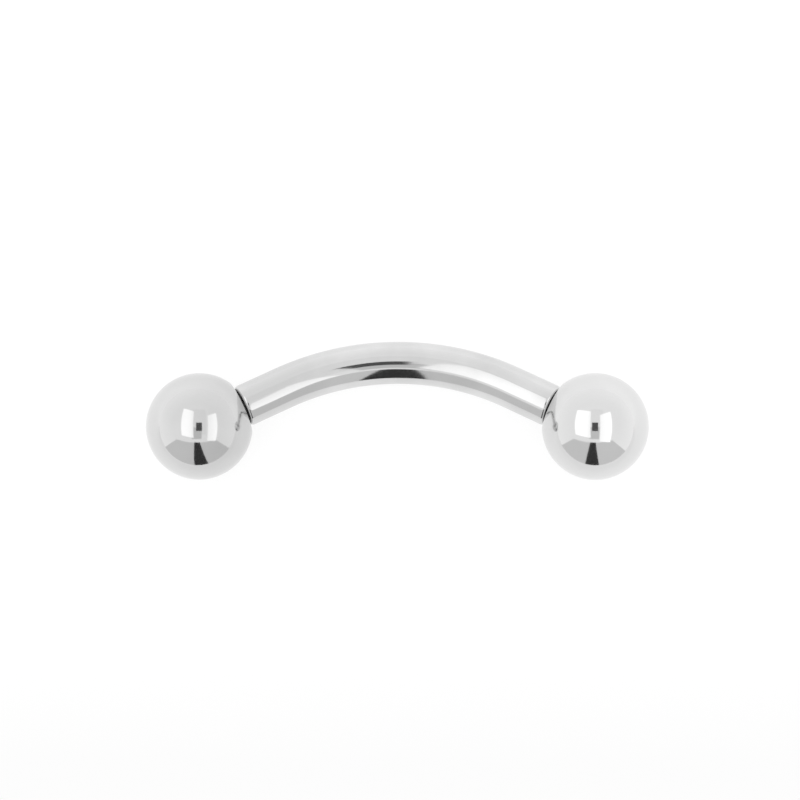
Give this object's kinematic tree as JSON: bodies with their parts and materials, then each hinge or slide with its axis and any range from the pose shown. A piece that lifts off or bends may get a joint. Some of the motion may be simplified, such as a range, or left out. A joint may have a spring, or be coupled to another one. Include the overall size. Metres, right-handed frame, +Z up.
{
  "type": "curved eyebrow barbell",
  "caption": "Curved steel barbell for an eyebrow piercing: a round bent bar with a threaded post at each end, and a smooth ball that screws on each post.",
  "frame": {"origin": "on the surface that the barbell lies on, below the middle of its outline", "axes": "+X from the left ball to the right ball, +Y towards the bend, +Z up, as it rests by itself on both balls and the outside of its bend"},
  "size_m": [0.014, 0.0038, 0.003],
  "materials": {
    "bar_steel": "mirror polished surgical steel",
    "ball_steel": "mirror polished surgical steel"
  },
  "bodies": {
    "bar": {"curved_bar": "bar_steel"},
    "left_ball": {"ball_left": "ball_steel"},
    "right_ball": {"ball_right": "ball_steel"}
  },
  "joints": [
    {"name": "left_ball_off", "type": "slide", "parent": "bar", "child": "left_ball", "axis": [-0.887, -0.4126, 0.2074], "range_m": [0, 0.0021]},
    {"name": "right_ball_off", "type": "slide", "parent": "bar", "child": "right_ball", "axis": [0.887, -0.4126, 0.2074], "range_m": [0, 0.0021]}
  ]
}
